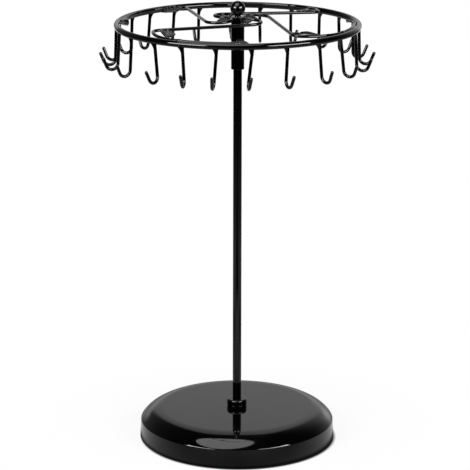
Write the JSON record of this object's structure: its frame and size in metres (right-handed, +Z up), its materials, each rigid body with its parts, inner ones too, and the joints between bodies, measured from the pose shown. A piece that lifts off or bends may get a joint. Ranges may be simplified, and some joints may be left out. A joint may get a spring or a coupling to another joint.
{
  "type": "rotating jewelry stand",
  "caption": "Free-standing stand with a weighted round base, a thin pole and a turning wire wheel of hanging hooks with leafy scroll spokes and a ball finial.",
  "frame": {"origin": "centre of the round foot, on the surface the stand rests on", "axes": "+Z up along the pole, -Y towards the camera of the picture, +X to its right"},
  "size_m": [0.2199, 0.2194, 0.3625],
  "materials": {
    "base_enamel": "high gloss",
    "black_enamel": "gloss",
    "plain_steel": "rough",
    "zinc_steel": "zinc plated",
    "bearing_steel": "polished",
    "nylon": "natural",
    "foam_pad": "matt foam"
  },
  "bodies": {
    "stand": {"base_cover": "base_enamel", "base_ballast": "plain_steel", "base_pad": "foam_pad", "foot_collar": "black_enamel", "pole": "black_enamel", "pole_stud": "zinc_steel", "clamp_washer": "zinc_steel", "clamp_nut": "zinc_steel", "pole_plug": "nylon", "thrust_ball": "bearing_steel"},
    "carousel": {"hub_sleeve": "black_enamel", "lower_bush": "nylon", "upper_bush": "nylon", "sleeve_cap": "black_enamel", "finial_ball": "black_enamel", "hook_ring": "black_enamel", "hook_01": "black_enamel", "hook_02": "black_enamel", "hook_03": "black_enamel", "hook_04": "black_enamel", "hook_05": "black_enamel", "hook_06": "black_enamel", "hook_07": "black_enamel", "hook_08": "black_enamel", "hook_09": "black_enamel", "hook_10": "black_enamel", "hook_11": "black_enamel", "hook_12": "black_enamel", "hook_13": "black_enamel", "hook_14": "black_enamel", "hook_15": "black_enamel", "hook_16": "black_enamel", "hook_17": "black_enamel", "hook_18": "black_enamel", "hook_19": "black_enamel", "hook_20": "black_enamel", "hook_21": "black_enamel", "hook_22": "black_enamel", "hook_23": "black_enamel", "vine_1": "black_enamel", "vine_2": "black_enamel", "vine_3": "black_enamel", "vine_4": "black_enamel", "mid_leaf_1": "black_enamel", "mid_leaf_2": "black_enamel", "mid_leaf_3": "black_enamel", "mid_leaf_4": "black_enamel", "tail_leaf_1": "black_enamel", "tail_leaf_2": "black_enamel", "tail_leaf_3": "black_enamel", "tail_leaf_4": "black_enamel", "inner_leaf_1": "black_enamel", "inner_leaf_2": "black_enamel", "inner_leaf_3": "black_enamel", "inner_leaf_4": "black_enamel"}
  },
  "joints": [
    {"name": "carousel_spin", "type": "hinge", "parent": "stand", "child": "carousel", "pos_m": [0, 0, 0.3434], "axis": [0, 0, 1], "continuous": true}
  ]
}
